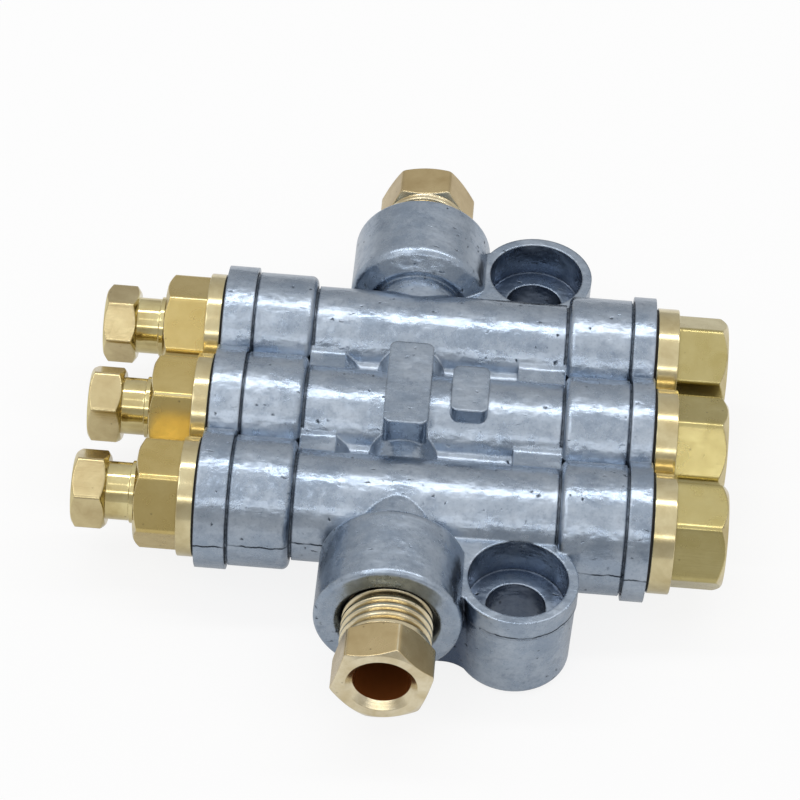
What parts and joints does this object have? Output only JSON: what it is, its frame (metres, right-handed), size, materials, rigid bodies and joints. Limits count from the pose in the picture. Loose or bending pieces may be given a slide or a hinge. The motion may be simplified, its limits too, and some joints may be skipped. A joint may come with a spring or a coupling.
{
  "type": "positive displacement injector",
  "caption": "Oil metering injector: parallel die-cast barrels with a metering cap at one end and a tube outlet at the other, fed by a cross main line and held by two counterbored lugs.",
  "frame": {"origin": "on the mounting face, midway between the axes of the two mounting holes", "axes": "+Z out of the mounting face and up through the lugs, +Y along the main line from the front port to the rear port, +X towards the metering caps"},
  "size_m": [0.0725, 0.0789, 0.0176],
  "materials": {
    "die_cast_zinc": "as cast, pitted, bluish grey",
    "turned_brass": "turned, lightly dulled",
    "fitting_brass": "turned, bright",
    "sealing_washer": "matt, dark",
    "nitrile_rubber": "matt, black",
    "spring_steel": "drawn wire",
    "ground_steel": "ground"
  },
  "bodies": {
    "injector": {"body_casting": "die_cast_zinc", "outlet_body_rear": "turned_brass", "outlet_body_middle": "turned_brass", "outlet_body_front": "turned_brass", "outlet_washer_rear": "sealing_washer", "outlet_washer_middle": "sealing_washer", "outlet_washer_front": "sealing_washer", "outlet_nut_rear": "fitting_brass", "outlet_nut_middle": "fitting_brass", "outlet_nut_front": "fitting_brass", "outlet_ferrule_rear": "fitting_brass", "outlet_ferrule_middle": "fitting_brass", "outlet_ferrule_front": "fitting_brass", "check_seat_rear": "turned_brass", "check_seat_middle": "turned_brass", "check_seat_front": "turned_brass", "check_spring_rear": "spring_steel", "check_spring_middle": "spring_steel", "check_spring_front": "spring_steel", "control_tube_rear": "turned_brass", "control_tube_middle": "turned_brass", "control_tube_front": "turned_brass", "piston_spring_rear": "spring_steel", "piston_spring_middle": "spring_steel", "piston_spring_front": "spring_steel", "metering_cap_rear": "turned_brass", "metering_cap_middle": "turned_brass", "metering_cap_front": "turned_brass", "pilot_ring_rear": "nitrile_rubber", "pilot_ring_middle": "nitrile_rubber", "pilot_ring_front": "nitrile_rubber", "cap_washer_rear": "sealing_washer", "cap_washer_middle": "sealing_washer", "cap_washer_front": "sealing_washer", "main_nut_rear": "fitting_brass", "main_nut_front": "fitting_brass", "main_ferrule_rear": "fitting_brass", "main_ferrule_front": "fitting_brass"},
    "piston_rear": {"metering_piston_rear": "ground_steel", "piston_ring_rear": "nitrile_rubber"},
    "piston_middle": {"metering_piston_middle": "ground_steel", "piston_ring_middle": "nitrile_rubber"},
    "piston_front": {"metering_piston_front": "ground_steel", "piston_ring_front": "nitrile_rubber"},
    "transfer_rear": {"transfer_seal_rear": "nitrile_rubber"},
    "transfer_middle": {"transfer_seal_middle": "nitrile_rubber"},
    "transfer_front": {"transfer_seal_front": "nitrile_rubber"},
    "check_rear": {"check_disc_rear": "nitrile_rubber"},
    "check_middle": {"check_disc_middle": "nitrile_rubber"},
    "check_front": {"check_disc_front": "nitrile_rubber"}
  },
  "joints": [
    {"name": "metering_piston_rear_slide", "type": "slide", "parent": "injector", "child": "piston_rear", "axis": [1, 0, 0], "range_m": [0, 0.00177], "stiffness_N_per_m": 2400, "springref_m": -0.003, "deforming": ["piston_spring_rear"]},
    {"name": "metering_piston_middle_slide", "type": "slide", "parent": "injector", "child": "piston_middle", "axis": [1, 0, 0], "range_m": [0, 0.00177], "stiffness_N_per_m": 2400, "springref_m": -0.003, "deforming": ["piston_spring_middle"]},
    {"name": "metering_piston_front_slide", "type": "slide", "parent": "injector", "child": "piston_front", "axis": [1, 0, 0], "range_m": [0, 0.00106], "stiffness_N_per_m": 2400, "springref_m": -0.003, "deforming": ["piston_spring_front"]},
    {"name": "transfer_seal_rear_slide", "type": "slide", "parent": "injector", "child": "transfer_rear", "axis": [1, 0, 0], "range_m": [0, 0.0016]},
    {"name": "transfer_seal_middle_slide", "type": "slide", "parent": "injector", "child": "transfer_middle", "axis": [1, 0, 0], "range_m": [0, 0.0016]},
    {"name": "transfer_seal_front_slide", "type": "slide", "parent": "injector", "child": "transfer_front", "axis": [1, 0, 0], "range_m": [0, 0.0016]},
    {"name": "check_disc_rear_slide", "type": "slide", "parent": "injector", "child": "check_rear", "axis": [-1, 0, 0], "range_m": [0, 0.0012], "stiffness_N_per_m": 2200, "springref_m": -0.0005, "deforming": ["check_spring_rear"]},
    {"name": "check_disc_middle_slide", "type": "slide", "parent": "injector", "child": "check_middle", "axis": [-1, 0, 0], "range_m": [0, 0.0012], "stiffness_N_per_m": 2200, "springref_m": -0.0005, "deforming": ["check_spring_middle"]},
    {"name": "check_disc_front_slide", "type": "slide", "parent": "injector", "child": "check_front", "axis": [-1, 0, 0], "range_m": [0, 0.0012], "stiffness_N_per_m": 2200, "springref_m": -0.0005, "deforming": ["check_spring_front"]}
  ]
}
